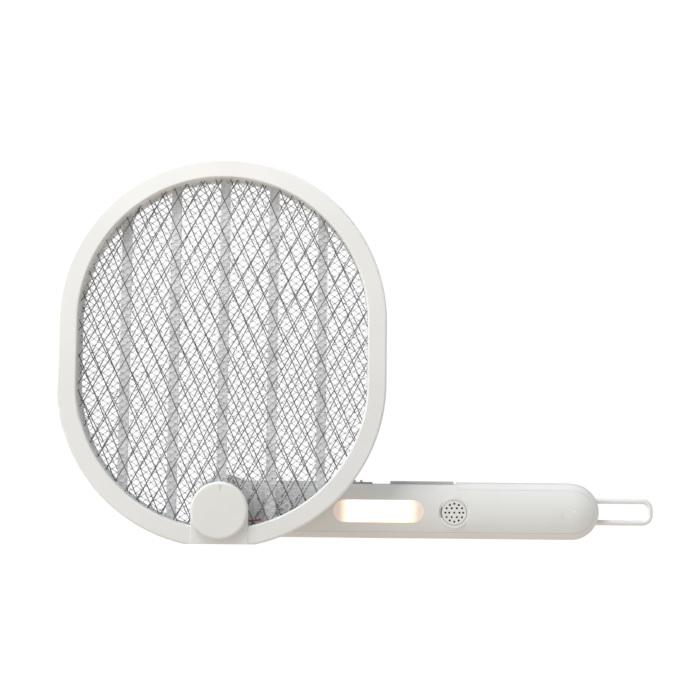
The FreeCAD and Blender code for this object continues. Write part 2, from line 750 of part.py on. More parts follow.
def knob_slot():
    """Slot that the knob's stem slides in."""
    xs = (STEM_X[0] - 0.4, STEM_X[1] + KNOB_TRAVEL + 0.4)
    ys = (KEY_MID_Y - 1.9, KEY_MID_Y + 1.9)
    return block(xs, ys, (PIVOT_Z + DECK_TOP - DECK_T - 1, PIVOT_Z + DECK_TOP))


def control_deck():
    """Floor of the control strip, with the well of the button and the knob's slot."""
    top = PIVOT_Z + DECK_TOP
    deck_y = (HANDLE_FRONT_Y + 1, HANDLE_REAR_Y - 1)
    deck = block((DECK_START_X, DECK_END_X), deck_y, (top - DECK_T, top))
    deck = deck.common(handle_inside(WALL + 0.05))
    hole = (top - DECK_T - 1, top)
    deck = deck.cut(stud(PLUNGER_R + 0.35, hole, BUTTON_PLUNGER_X, KEY_MID_Y))
    return deck.cut(button_well()).cut(knob_slot())


def zap_button():
    """Long push button, a little proud of the handle's upper line."""
    top = PIVOT_Z + BUTTON_TOP
    button = block(BUTTON_X, (KEY_FRONT_Y, KEY_BACK_Y), (PIVOT_Z + BUTTON_FOOT, top))
    upper = [e for e in button.Edges if e.BoundBox.ZMin > top - 0.01]
    return button.makeFillet(0.5, upper)


def button_plunger():
    """Stem under the button that closes the switch."""
    zs = (PIVOT_Z + 12.0, PIVOT_Z + BUTTON_FOOT)
    return stud(PLUNGER_R, zs, BUTTON_PLUNGER_X, KEY_MID_Y)


def press_switch():
    """Switch under the button's stem, with a well that the stem drops into."""
    zs = (PIVOT_Z + 9.4, PIVOT_Z + 12.8)
    x = BUTTON_PLUNGER_X
    case = block((x - 3.5, x + 3.5), (KEY_MID_Y - 3.2, KEY_MID_Y + 3.2), zs)
    return case.cut(stud(PLUNGER_R + 0.35, (PIVOT_Z + 10.4, zs[1]), x, KEY_MID_Y))


def mode_knob():
    """Sliding knob with two grip ridges and a stem into its switch."""
    ys = (KEY_FRONT_Y, KEY_BACK_Y)
    knob = block(KNOB_X, ys, (PIVOT_Z + DECK_TOP + 0.15, PIVOT_Z + KNOB_TOP))
    for x in KNOB_RIDGES:
        ridge = block((x - 0.9, x + 0.9), ys, (PIVOT_Z + KNOB_TOP - 0.1, PIVOT_Z + KNOB_RIDGE_TOP))
        crest = [e for e in ridge.Edges if e.BoundBox.ZMin > PIVOT_Z + KNOB_RIDGE_TOP - 0.01]
        crest = [e for e in crest if e.BoundBox.YLength > 1]
        knob = knob.fuse(ridge.makeFillet(0.7, crest))
    stem_z = (PIVOT_Z + 12.2, PIVOT_Z + DECK_TOP + 0.15)
    return knob.fuse(block(STEM_X, (KEY_MID_Y - 1.5, KEY_MID_Y + 1.5), stem_z))


def mode_switch():
    """Slide switch under the deck, with a channel for the knob's stem."""
    xs = (STEM_X[0] - 2.4, STEM_X[1] + KNOB_TRAVEL + 2.4)
    case = block(xs, (KEY_MID_Y - 3.4, KEY_MID_Y + 3.4), (PIVOT_Z + 10.2, PIVOT_Z + 13.8))
    channel_x = (STEM_X[0] - 0.4, STEM_X[1] + KNOB_TRAVEL + 0.4)
    channel_y = (KEY_MID_Y - 1.9, KEY_MID_Y + 1.9)
    return case.cut(block(channel_x, channel_y, (PIVOT_Z + 11.6, PIVOT_Z + 13.8)))


# ---- Hanging loop ----------------------------------------------------------------------
def loop_legs():
    half = LOOP_HALF - LOOP_BAR_R
    return PIVOT_Z - half, PIVOT_Z + half


def hanging_loop():
    """Round-bar loop with two legs in the tail and an end stop on each leg."""
    low, top = loop_legs()
    bend = LOOP_CORNER_R - LOOP_BAR_R
    last = LOOP_END_X - LOOP_BAR_R
    y = HANDLE_MID_Y
    turn = bend * (1 - math.sqrt(0.5))
    path = [
        Part.LineSegment(vec(LOOP_ROOT_X, y, top), vec(last - bend, y, top)),
        Part.Arc(vec(last - bend, y, top), vec(last - turn, y, top - turn), vec(last, y, top - bend)),
        Part.LineSegment(vec(last, y, top - bend), vec(last, y, low + bend)),
        Part.Arc(vec(last, y, low + bend), vec(last - turn, y, low + turn), vec(last - bend, y, low)),
        Part.LineSegment(vec(last - bend, y, low), vec(LOOP_ROOT_X, y, low)),
    ]
    spine = Part.Wire([edge.toShape() for edge in path])
    profile = Part.Wire(Part.Circle(vec(LOOP_ROOT_X, y, top), vec(1, 0, 0), LOOP_BAR_R).toShape())
    loop = spine.makePipeShell([profile], True, True)
    for z in loop_legs():
        loop = loop.fuse(bar(LOOP_BAR_R + 0.7, (LOOP_ROOT_X, GUIDE_X[0] - 0.3), y, z))
    return loop


def loop_guide():
    """Block in the tail with the two bores that the loop slides in."""
    ys = (HANDLE_MID_Y - 4.2, HANDLE_MID_Y + 4.2)
    guide = block(GUIDE_X, ys, (PIVOT_Z - 11.5, PIVOT_Z + 11.5))
    for z in loop_legs():
        guide = guide.cut(bar(LOOP_BAR_R + 0.1, GUIDE_X, HANDLE_MID_Y, z))
    return guide


# ---- Electrics in the handle -----------------------------------------------------------
def level(half):
    """Heights of a piece centred on the handle's axis."""
    return PIVOT_Z - half, PIVOT_Z + half


def battery_cell():
    body = bar(BATTERY_R, BATTERY_X, BATTERY_Y, PIVOT_Z)
    return body.fuse(bar(3.0, (BATTERY_X[1], BATTERY_X[1] + 1.0), BATTERY_Y, PIVOT_Z))


def battery_contacts():
    """Two contact plates, one at each end of the cell."""
    plates = []
    ys = (BATTERY_Y - CONTACT_HALF, BATTERY_Y + CONTACT_HALF)
    for x in (BATTERY_X[0] - 1.6, BATTERY_X[1] + 1.1):
        plates.append(block((x, x + CONTACT_T), ys, level(CONTACT_HALF)))
    return plates


def main_board():
    return block(MAIN_BOARD_X, MAIN_BOARD_Y, level(MAIN_BOARD_HALF))


def hv_transformer():
    core = block(TRANSFORMER_X, TRANSFORMER_Y, level(TRANSFORMER_HALF))
    return core.makeFillet(1.0, core.Edges)


def hv_capacitor():
    return stud(CAPACITOR_R, level(CAPACITOR_HALF), CAPACITOR_X, MAIN_BOARD_Y[0] - CAPACITOR_R - 0.2)


def charge_board():
    return block(CHARGE_BOARD_X, CHARGE_BOARD_Y, level(CHARGE_BOARD_HALF))


def socket_shape(grow, ys):
    """Flat-sided oval of the charging socket."""
    half_x, half_z = SOCKET_HALF[0] + grow, SOCKET_HALF[1] + grow
    straight = half_x - half_z
    oval = block((SOCKET_X - straight, SOCKET_X + straight), ys, level(half_z))
    for x in (SOCKET_X - straight, SOCKET_X + straight):
        oval = oval.fuse(disc(half_z, ys, x, PIVOT_Z))
    return oval


def socket_mouth(grow):
    return socket_shape(grow, (CHARGE_BOARD_Y[1] - 0.2, HANDLE_REAR_Y + 1))


def charging_socket():
    """Metal shell with its contact tongue, opening through the back."""
    ys = (CHARGE_BOARD_Y[1], HANDLE_REAR_Y - 0.4)
    shell = socket_shape(0.0, ys).cut(socket_shape(-SOCKET_WALL, (ys[0] + 1.0, ys[1])))
    tongue_x = (SOCKET_X - 3.2, SOCKET_X + 3.2)
    return shell.fuse(block(tongue_x, (ys[0] + 1.0, ys[1] - 1.2), level(0.35)))


def charge_light():
    return handle_outside().common(light_slot(0.05))


def axle_leads():
    """Live and earth leads from the board through the hollow axle, apart by 2 mm."""
    leads = []
    for side in (-1, 1):
        z = PIVOT_Z + side * AXLE_LEAD_APART
        outer_z = z + side * 3
        route = [vec(0, 3.4, z), vec(0, 34.0, z), vec(28.0, 42.0, outer_z)]
        route.append(vec(MAIN_BOARD_X[0], MAIN_BOARD_Y[0] - AXLE_LEAD_R, outer_z))
        leads.append(lead(route, AXLE_LEAD_R))
    return leads


def head_nodes():
    live_ends = [
        around(BOSS_R + 4.0, HV_ANGLE, HV_LEAD_Y),
        vec(TERMINAL[0], HV_LEAD_Y, TERMINAL[1] - 2.9),
    ]
    earth_ends = [around(BOSS_R + 0.4, EARTH_ANGLE, EARTH_LEAD_Y)]
    return {
        "head_front_bezel": [head_front_bezel()],
        "head_rear_frame": [head_rear_frame()],
        "spacer_ring": [layer_ring((SPACER_Y, HV_Y))],
        "front_guard_mesh": [guard_mesh(FRONT_GUARD_Y, FRONT_LATTICE)],
        "rear_guard_mesh": [guard_mesh(REAR_GUARD_Y, REAR_LATTICE)],
        "hv_mesh": [hv_mesh()],
        "rib_frame": [rib_frame()],
        "head_screws": head_screws(),
        "pivot_cap": [pivot_cap()],
        "contact_board": contact_board(),
        "hv_terminal": [hv_terminal()],
        "hv_lead": [head_lead(HV_ANGLE, HV_LEAD_Y, live_ends)],
        "earth_lead": [head_lead(EARTH_ANGLE, EARTH_LEAD_Y, earth_ends)],
        "detent_leaf": [detent_leaf()],
    }


def pivot_nodes():
    return {
        "axle": [axle()],
        "retainer_plate": [retainer_plate()],
        "retainer_screws": retainer_screws(),
        "spring_washer": [spring_washer()],
        "detent_disc": [detent_disc()],
        "axle_leads": axle_leads(),
    }


def handle_nodes():
    return {
        "handle_front_cover": [handle_front_cover()],
        "handle_rear_shell": [handle_rear_shell()],
        "handle_screws": handle_screws(),
        "lamp_lens": [lamp_lens()],
        "lamp_reflector": [lamp_reflector()],
        "led_board": [led_board()],
        "lamp_leds": lamp_leds(),
        "lure_pad": [lure_pad()],
        "lure_tray": [lure_tray()],
        "control_deck": [control_deck()],
        "press_switch": [press_switch()],
        "mode_switch": [mode_switch()],
        "loop_guide": [loop_guide()],
        "battery_cell": [battery_cell()],
        "battery_contacts": battery_contacts(),
        "main_board": [main_board()],
        "hv_transformer": [hv_transformer()],
        "hv_capacitor": [hv_capacitor()],
        "charge_board": [charge_board()],
        "charging_socket": [charging_socket()],
        "charge_light": [charge_light()],
    }


def moving_nodes():
    return {
        "grille_cap": [grille_cap()],
        "zap_button": [zap_button()],
        "button_plunger": [button_plunger()],
        "mode_knob": [mode_knob()],
        "hanging_loop": [hanging_loop()],
    }


def main():
    os.makedirs("parts", exist_ok=True)
    for group in (head_nodes, pivot_nodes, handle_nodes, moving_nodes):
        for name, pieces in group().items():
            save(name, *pieces)


main()
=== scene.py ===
"""Looks of the folding electric fly swatter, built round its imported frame. Metres, +Z up."""
import json
import math

import bpy
from mathutils import Matrix, Vector


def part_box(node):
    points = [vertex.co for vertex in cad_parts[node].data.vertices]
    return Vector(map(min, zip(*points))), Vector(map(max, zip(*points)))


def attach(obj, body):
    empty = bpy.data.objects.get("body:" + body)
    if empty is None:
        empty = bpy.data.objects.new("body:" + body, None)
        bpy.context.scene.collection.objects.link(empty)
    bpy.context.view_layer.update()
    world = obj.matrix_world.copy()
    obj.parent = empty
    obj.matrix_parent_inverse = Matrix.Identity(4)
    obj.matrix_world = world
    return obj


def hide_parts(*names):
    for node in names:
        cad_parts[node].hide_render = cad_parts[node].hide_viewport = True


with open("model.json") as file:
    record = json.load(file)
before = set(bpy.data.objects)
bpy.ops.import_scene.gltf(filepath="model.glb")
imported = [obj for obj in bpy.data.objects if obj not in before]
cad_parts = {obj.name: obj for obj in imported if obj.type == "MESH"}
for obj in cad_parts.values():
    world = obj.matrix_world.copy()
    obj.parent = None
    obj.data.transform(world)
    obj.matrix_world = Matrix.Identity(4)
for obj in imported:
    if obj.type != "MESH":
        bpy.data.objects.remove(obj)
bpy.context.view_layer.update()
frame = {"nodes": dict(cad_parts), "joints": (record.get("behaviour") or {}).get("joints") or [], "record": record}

MM = 0.001

# ---- Places taken from the frame ---------------------------------------------------------
JOINTS = {joint["name"]: joint for joint in frame["joints"]}
PIVOT = Vector(JOINTS["head_fold"]["pos_m"])
BEZEL_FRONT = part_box("head_front_bezel")[0].y
GUARD_LOW, GUARD_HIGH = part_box("front_guard_mesh")
LAYER_R = (GUARD_HIGH.x - GUARD_LOW.x) / 2
HALF_STRAIGHT = (GUARD_HIGH.z - GUARD_LOW.z) / 2 - LAYER_R
HEAD_X = (GUARD_HIGH.x + GUARD_LOW.x) / 2
HEAD_Z = (GUARD_HIGH.z + GUARD_LOW.z) / 2
BOSS = Vector((PIVOT.x - HEAD_X, PIVOT.z - HEAD_Z))
BOSS_HOLE_R = 18.2 * MM

# ---- Meshes of the head ------------------------------------------------------------------
# Each: half width and half height of a hole, clockwise turn, and one crossing's place
# counted from the middle of the head.
FRONT_LATTICE = (5.29 * MM, 10.30 * MM, math.radians(3.7), (-1.31 * MM, 10.71 * MM))
REAR_LATTICE = (5.38 * MM, 10.22 * MM, 0.0, (0.27 * MM, 8.49 * MM))
LIVE_LATTICE = (3.29 * MM, 2.33 * MM, math.radians(-0.85), (0.27 * MM, -2.02 * MM))
GUARD_WIRE_R = 0.36 * MM
GUARD_WEAVE = 0.28 * MM
GUARD_WIRE_SIDES = 6
LIVE_WIRE_R = 0.42 * MM
LIVE_WIRE_SIDES = 4
WIRE_FLATTEN = 0.6
WIRE_EDGE_GAP = 0.4 * MM
SHORTEST_WIRE = 1.0 * MM
BEAD_SIZE = (0.75 * MM, 0.2 * MM, 0.35 * MM)
BEAD_EDGE_GAP = 1.0 * MM
BEAD_BOSS_GAP = 0.5 * MM
# A search for a line's first point inside the outline, and the farthest that any line reaches.
SEARCH_STEP = 6.0 * MM
SEARCH_STEPS = 40
LINE_REACH = 0.4
HALVINGS = 30
FAMILY_REACH = 0.15
CROSSING_REACH = 0.3
BEAD_REACH = (0.11, 0.14)

# ---- Camera ------------------------------------------------------------------------------
LENS = 72.0
SENSOR_WIDTH = 36.0
VIEW_REACH = 50.0
CAMERA_BACK = 940.0 * MM
CAMERA_RIGHT = 86.2 * MM
CAMERA_HEIGHT = 60.0 * MM
CAMERA_PITCH = math.radians(4.3)
CAMERA_ROLL = math.radians(0.57)

# ---- Light -------------------------------------------------------------------------------
# The backdrop's light from each side: axis, sign of the direction, strength. It and the floor
# each light the object by one value and show to the camera with another.
WORLD_SIDES = (("X", -1.0, 2.5), ("X", 1.0, 0.80), ("Z", 1.0, 0.20))
WORLD_TINT = (0.95, 1.0, 1.05)
WORLD_SEEN = 1.02
FLOOR_HALF = 12.0
FLOOR_CORNERS = ((-1, -1), (1, -1), (1, 1), (-1, 1))
FLOOR_GLOW = 0.58
FLOOR_TINT = (1.08, 0.99, 0.90)
FLOOR_SEEN = 0.93
KEY_PLACE = (-0.30, -0.35, 0.75)
KEY_AIM = (-0.08, 0.0, 0.12)
KEY_SIZE = (0.35, 0.35)
KEY_POWER = 3.6
LAMP_EDGE = 0.25
LAMP_POWER = 1.6
# Where the window's light starts and stops fading, as shares of its half length and half height.
LAMP_FADE_ALONG = (0.58, 0.90)
LAMP_FADE_ACROSS = (0.85, 1.1)
LAMP_END_COLOUR = (1.0, 0.76, 0.60)
LAMP_FADE_COLOUR = (1.0, 0.72, 0.42)
LAMP_MIDDLE_COLOUR = (1.0, 0.93, 0.80)
LAMP_FADE_AT = 0.35


# ---- Surfaces ----------------------------------------------------------------------------
# Noise scales of the mottling, the uneven polish and the fine grain, and the grain's depth.
PLASTIC_NOISE = (14.0, 60.0, 2600.0)
PLASTIC_GRAIN_DEPTH = 0.06 * MM
PLASTIC_POLISH = 0.06
PLASTIC_IOR = 1.48
COAT_ROUGHNESS = 0.2
METAL_NOISE = (90.0, 400.0, 1500.0)
METAL_GRAIN_DEPTH = 0.04 * MM
METAL_GRAIN = 0.15
METAL_SMOOTHER = 0.1
METAL_DULLER = 0.12
GRAIN_DETAIL = 2.0
WINDOW_NOISE = 300.0
WINDOW_COLOURS = ((0.70, 0.61, 0.57), (0.76, 0.67, 0.62))
WINDOW_ROUGHNESS = 0.35
FLOOR_NOISE = 3.0
FLOOR_COLOURS = ((0.09, 0.09, 0.09), (0.11, 0.11, 0.11))
FLOOR_ROUGHNESS = 0.9
FLOOR_SHINE = 0.1


# ---- Node materials ----------------------------------------------------------------------
def new_material(name):
    material = bpy.data.materials.new(name)
    material.use_nodes = True
    nodes = material.node_tree.nodes
    return material, material.node_tree, nodes["Principled BSDF"]


def noise(tree, scale, detail=3.0, roughness=0.55):
    """Noise in the object's own space, so that it stays put on the piece."""
    place = tree.nodes.new("ShaderNodeTexCoord")
    texture = tree.nodes.new("ShaderNodeTexNoise")
    texture.inputs["Scale"].default_value = scale
    texture.inputs["Detail"].default_value = detail
    texture.inputs["Roughness"].default_value = roughness
    tree.links.new(place.outputs["Object"], texture.inputs["Vector"])
    return texture.outputs["Fac"]


def vary_colour(tree, shader, fac, dark, light, low=0.35, high=0.65):
    ramp = tree.nodes.new("ShaderNodeValToRGB")
    ramp.color_ramp.elements[0].position = low
    ramp.color_ramp.elements[1].position = high
    ramp.color_ramp.elements[0].color = (*dark, 1.0)
    ramp.color_ramp.elements[1].color = (*light, 1.0)
    tree.links.new(fac, ramp.inputs["Fac"])
    tree.links.new(ramp.outputs["Color"], shader.inputs["Base Color"])


def vary_roughness(tree, shader, fac, low, high):
    spread = tree.nodes.new("ShaderNodeMapRange")
    spread.inputs["To Min"].default_value = low
    spread.inputs["To Max"].default_value = high
    tree.links.new(fac, spread.inputs["Value"])
    tree.links.new(spread.outputs["Result"], shader.inputs["Roughness"])


def add_bump(tree, shader, fac, strength, distance):
    bump = tree.nodes.new("ShaderNodeBump")
    bump.inputs["Strength"].default_value = strength
    bump.inputs["Distance"].default_value = distance
    tree.links.new(fac, bump.inputs["Height"])
    tree.links.new(bump.outputs["Normal"], shader.inputs["Normal"])


def shade(colour, factor):
    return tuple(min(1.0, channel * factor) for channel in colour)


def moulded(name, colour, roughness=0.38, grain=0.08, spread=0.03, coat=0.0):
    """Moulded plastic: faint mottling, an uneven polish and a fine grain."""
    material, tree, shader = new_material(name)
    mottle, polish, fine = PLASTIC_NOISE
    darker, lighter = shade(colour, 1 - spread), shade(colour, 1 + spread)
    vary_colour(tree, shader, noise(tree, mottle), darker, lighter)
    smooth, dull = roughness - PLASTIC_POLISH, roughness + PLASTIC_POLISH
    vary_roughness(tree, shader, noise(tree, polish), smooth, dull)
    add_bump(tree, shader, noise(tree, fine, GRAIN_DETAIL), grain, PLASTIC_GRAIN_DEPTH)
    shader.inputs["IOR"].default_value = PLASTIC_IOR
    shader.inputs["Coat Weight"].default_value = coat
    shader.inputs["Coat Roughness"].default_value = COAT_ROUGHNESS
    return material


def metal(name, colour, roughness=0.4, spread=0.12):
    """Drawn or rolled metal with dull patches."""
    material, tree, shader = new_material(name)
    mottle, polish, fine = METAL_NOISE
    darker, lighter = shade(colour, 1 - spread), shade(colour, 1 + spread)
    vary_colour(tree, shader, noise(tree, mottle), darker, lighter)
    smooth, dull = roughness - METAL_SMOOTHER, roughness + METAL_DULLER
    vary_roughness(tree, shader, noise(tree, polish), smooth, dull)
    add_bump(tree, shader, noise(tree, fine, GRAIN_DETAIL), METAL_GRAIN, METAL_GRAIN_DEPTH)
    shader.inputs["Metallic"].default_value = 1.0
    return material


def lamp_material(name, low, high):
    """Frosted window, lit warm white in the middle and dimmer towards its ends."""
    material, tree, shader = new_material(name)
    place = tree.nodes.new("ShaderNodeTexCoord")
    split = tree.nodes.new("ShaderNodeSeparateXYZ")
    tree.links.new(place.outputs["Object"], split.inputs["Vector"])
    middle = (low + high) / 2
    half = (high - low) / 2

    def lit_along(axis, fade):
        """One inside the window's lit middle, falling to none at its end, along one axis."""
        offset = tree.nodes.new("ShaderNodeMath")
        offset.operation = "SUBTRACT"
        offset.inputs[1].default_value = middle[axis]
        tree.links.new(split.outputs[axis], offset.inputs[0])
        size = tree.nodes.new("ShaderNodeMath")
        size.operation = "ABSOLUTE"
        tree.links.new(offset.outputs["Value"], size.inputs[0])
        fall = tree.nodes.new("ShaderNodeMapRange")
        fall.interpolation_type = "SMOOTHSTEP"
        fall.inputs["From Min"].default_value = half[axis] * fade[0]
        fall.inputs["From Max"].default_value = half[axis] * fade[1]
        fall.inputs["To Min"].default_value = 1.0
        fall.inputs["To Max"].default_value = 0.0
        tree.links.new(size.outputs["Value"], fall.inputs["Value"])
        return fall.outputs["Result"]

    along = lit_along(0, LAMP_FADE_ALONG)
    across = lit_along(2, LAMP_FADE_ACROSS)
    lit = tree.nodes.new("ShaderNodeMath")
    lit.operation = "MULTIPLY"
    tree.links.new(along, lit.inputs[0])
    tree.links.new(across, lit.inputs[1])
    ramp = tree.nodes.new("ShaderNodeValToRGB")
    ramp.color_ramp.elements[0].color = (*LAMP_END_COLOUR, 1.0)
    ramp.color_ramp.elements[1].color = (*LAMP_MIDDLE_COLOUR, 1.0)
    ramp.color_ramp.elements.new(LAMP_FADE_AT).color = (*LAMP_FADE_COLOUR, 1.0)
    tree.links.new(lit.outputs["Value"], ramp.inputs["Fac"])
    tree.links.new(ramp.outputs["Color"], shader.inputs["Emission Color"])
    power = tree.nodes.new("ShaderNodeMapRange")
    power.inputs["To Min"].default_value = LAMP_EDGE
    power.inputs["To Max"].default_value = LAMP_POWER
    tree.links.new(lit.outputs["Value"], power.inputs["Value"])
    tree.links.new(power.outputs["Result"], shader.inputs["Emission Strength"])
    vary_colour(tree, shader, noise(tree, WINDOW_NOISE), *WINDOW_COLOURS)
    shader.inputs["Roughness"].default_value = WINDOW_ROUGHNESS
    return material


MATERIALS = {
    "white_shell": moulded("white_shell", (0.79, 0.785, 0.755), 0.36, coat=0.35),
    "white_cap": moulded("white_cap", (0.78, 0.78, 0.735), 0.40),
    "pale_insulator": moulded("pale_insulator", (0.68, 0.68, 0.66), 0.5),
    "rib_plastic": moulded("rib_plastic", (0.74, 0.74, 0.735), 0.45, spread=0.06),
    "guard_wire": metal("guard_wire", (0.20, 0.20, 0.21), 0.5),
    "live_wire": metal("live_wire", (0.85, 0.85, 0.87), 0.55),
    "live_joint": metal("live_joint", (0.20, 0.20, 0.20), 0.5),
    "screw_steel": metal("screw_steel", (0.42, 0.42, 0.42), 0.35),
    "spring_steel": metal("spring_steel", (0.55, 0.55, 0.55), 0.35),
    "socket_steel": metal("socket_steel", (0.65, 0.65, 0.66), 0.3),
    "board": moulded("board", (0.03, 0.16, 0.06), 0.35),
    "red_lead": moulded("red_lead", (0.26, 0.06, 0.05), 0.5),
    "black_lead": moulded("black_lead", (0.02, 0.02, 0.02), 0.45),
    "black_plastic": moulded("black_plastic", (0.03, 0.03, 0.03), 0.5),
    "lamp_window": lamp_material("lamp_window", *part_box("lamp_lens")),
    "reflector_white": moulded("reflector_white", (0.85, 0.85, 0.83), 0.3),
    "led_phosphor": moulded("led_phosphor", (0.80, 0.55, 0.12), 0.5),
    "scent_pad": moulded("scent_pad", (0.05, 0.05, 0.05), 0.9, grain=0.6),
    "deck_plastic": moulded("deck_plastic", (0.80, 0.80, 0.77), 0.42),
    "grey_key": moulded("grey_key", (0.56, 0.53, 0.51), 0.45),
    "grey_knob": moulded("grey_knob", (0.48, 0.46, 0.46), 0.45),
    "cell_wrap": moulded("cell_wrap", (0.03, 0.12, 0.30), 0.3),
    "ferrite": moulded("ferrite", (0.03, 0.03, 0.03), 0.6),
    "capacitor_film": moulded("capacitor_film", (0.30, 0.08, 0.03), 0.35),
    "light_window": moulded("light_window", (0.76, 0.755, 0.73), 0.3),
    "loop_plastic": moulded("loop_plastic", (0.86, 0.84, 0.81), 0.36),
}


def paint_cad_nodes():
    """Give each carried-over CAD node the material of its slot."""
    for part in frame["record"]["subparts"]:
        node = frame["nodes"][part["node"]]
        for slot in node.material_slots:
            slot.material = MATERIALS[part["material_slot"]]


# ---- Wires -------------------------------------------------------------------------------
def in_stadium(x, z, radius):
    """Whether a point of the head plane lies inside the stadium of this radius."""
    beyond = max(0.0, abs(z) - HALF_STRAIGHT)
    return math.hypot(x, beyond) <= radius


def edge_of_stadium(point, direction, radius):
    """Distance along a direction from an inside point to the stadium's edge."""
    near, far = 0.0, LINE_REACH
    for _ in range(HALVINGS):
        middle = (near + far) / 2
        spot = point + direction * middle
        if in_stadium(spot.x, spot.y, radius):
            near = middle
        else:
            far = middle
    return near


def runs_of_line(point, direction, radius):
    """Stretches of a line inside the stadium and clear of the boss, as pairs of distances."""
    closest = -point.dot(direction)
    start = None
    for step in range(-SEARCH_STEPS, SEARCH_STEPS + 1):
        spot = point + direction * (closest + step * SEARCH_STEP)
        if in_stadium(spot.x, spot.y, radius):
            start = closest + step * SEARCH_STEP
            break
    if start is None:
        return []
    inside = point + direction * start
    low = start - edge_of_stadium(inside, -direction, radius)
    high = start + edge_of_stadium(inside, direction, radius)
    along = (BOSS - point).dot(direction)
    aside = (BOSS - point - direction * along).length
    if aside >= BOSS_HOLE_R:
        return [(low, high)]
    half = math.sqrt(BOSS_HOLE_R**2 - aside**2)
    cuts = [(low, along - half), (along + half, high)]
    return [(a, b) for a, b in cuts if b - a > SHORTEST_WIRE]


class MeshParts:
    """Vertices and faces of one piece, gathered before it becomes an object."""

    def __init__(self):
        self.points = []
        self.faces = []

    def tube(self, line, radius, sides):
        """Tube along a line that stays near the head plane, flattened in depth."""
        base = len(self.points)
        direction = (line[-1] - line[0]).normalized()
        side = direction.cross(Vector((0, 1, 0))).normalized()
        for centre in line:
            for index in range(sides):
                turn = 2 * math.pi * (index + 0.5) / sides
                offset = side * math.cos(turn) * radius
                offset += Vector((0, math.sin(turn) * radius * WIRE_FLATTEN, 0))
                self.points.append(centre + offset)
        for ring in range(len(line) - 1):
            for index in range(sides):
                a = base + ring * sides + index
                b = base + ring * sides + (index + 1) % sides
                self.faces.append((a, b, b + sides, a + sides))
        last = base + (len(line) - 1) * sides
        self.faces.append(tuple(base + index for index in reversed(range(sides))))
        self.faces.append(tuple(last + index for index in range(sides)))

    def bead(self, centre, size):
        """Eight-sided bead for the joint of two strands, size giving its half lengths."""
        base = len(self.points)
        for axis in range(3):
            for sign in (-1, 1):
                offset = [0.0, 0.0, 0.0]
                offset[axis] = sign * size[axis]
                self.points.append(centre + Vector(offset))
        for x in (0, 1):
            for y in (2, 3):
                for z in (4, 5):
                    corner = (base + x, base + y, base + z)
                    turned = (x + y + z) % 2
                    self.faces.append(corner if turned else corner[::-1])

    def build(self, name, material, smooth=True):
        mesh = bpy.data.meshes.new(name)
        mesh.from_pydata([tuple(p) for p in self.points], [], self.faces)
        mesh.materials.append(material)
        if smooth:
            mesh.polygons.foreach_set("use_smooth", [True] * len(mesh.polygons))
        mesh.update()
        piece = bpy.data.objects.new(name, mesh)
        bpy.context.scene.collection.objects.link(piece)
        return piece


def wire_families(lattice):
    """The two directions with their normals, and the spacing of a diamond mesh's wires."""
    half_x, half_z, turn, _ = lattice
    lean = math.atan2(half_z, half_x)
    spacing = 2 * half_x * half_z / math.hypot(half_x, half_z)
    families = []
    for angle in (lean - turn, -lean - turn):
        direction = Vector((math.cos(angle), math.sin(angle)))
        families.append((direction, Vector((-direction.y, direction.x))))
    return families, spacing


def crossing_distances(own, other, offset, spacing, low, high):
    """Where one wire meets the wires of the other family, with each one's number."""
    direction, normal = own
    other_normal = other[1]
    rate = direction.dot(other_normal)
    base = normal.dot(other_normal) * offset
    found = []
    reach = int(CROSSING_REACH / spacing)
    for number in range(-reach, reach + 1):
        distance = (number * spacing - base) / rate
        if low < distance < high:
            found.append((distance, number))
    return sorted(found)


def diamond_wires(parts, y, lattice, radius, weave, sides):
    """Both families of wires, woven over and under each other."""
    families, spacing = wire_families(lattice)
    origin = Vector(lattice[3])
    reach = int(FAMILY_REACH / spacing) + 1
    for which, (own, other) in enumerate((families, families[::-1])):
        for number in range(-reach, reach + 1):
            offset = number * spacing
            point = origin + own[1] * offset
            for low, high in runs_of_line(point, own[0], LAYER_R - WIRE_EDGE_GAP):
                crossings = []
                if weave:
                    crossings = crossing_distances(own, other, offset, spacing, low, high)
                line = []
                for distance, other_number in [(low, None), *crossings, (high, None)]:
                    spot = point + own[0] * distance
                    side = 0.0
                    if other_number is not None:
                        side = weave * (-1) ** (number + other_number + which)
                    line.append(Vector((HEAD_X + spot.x, y + side, HEAD_Z + spot.y)))
                parts.tube(line, radius, sides)


def build_guard(node, lattice):
    low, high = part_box(node)
    parts = MeshParts()
    y = (low.y + high.y) / 2
    diamond_wires(parts, y, lattice, GUARD_WIRE_R, GUARD_WEAVE, GUARD_WIRE_SIDES)
    piece = parts.build(node + "_wires", MATERIALS["guard_wire"])
    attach(piece, "head")
    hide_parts(node)


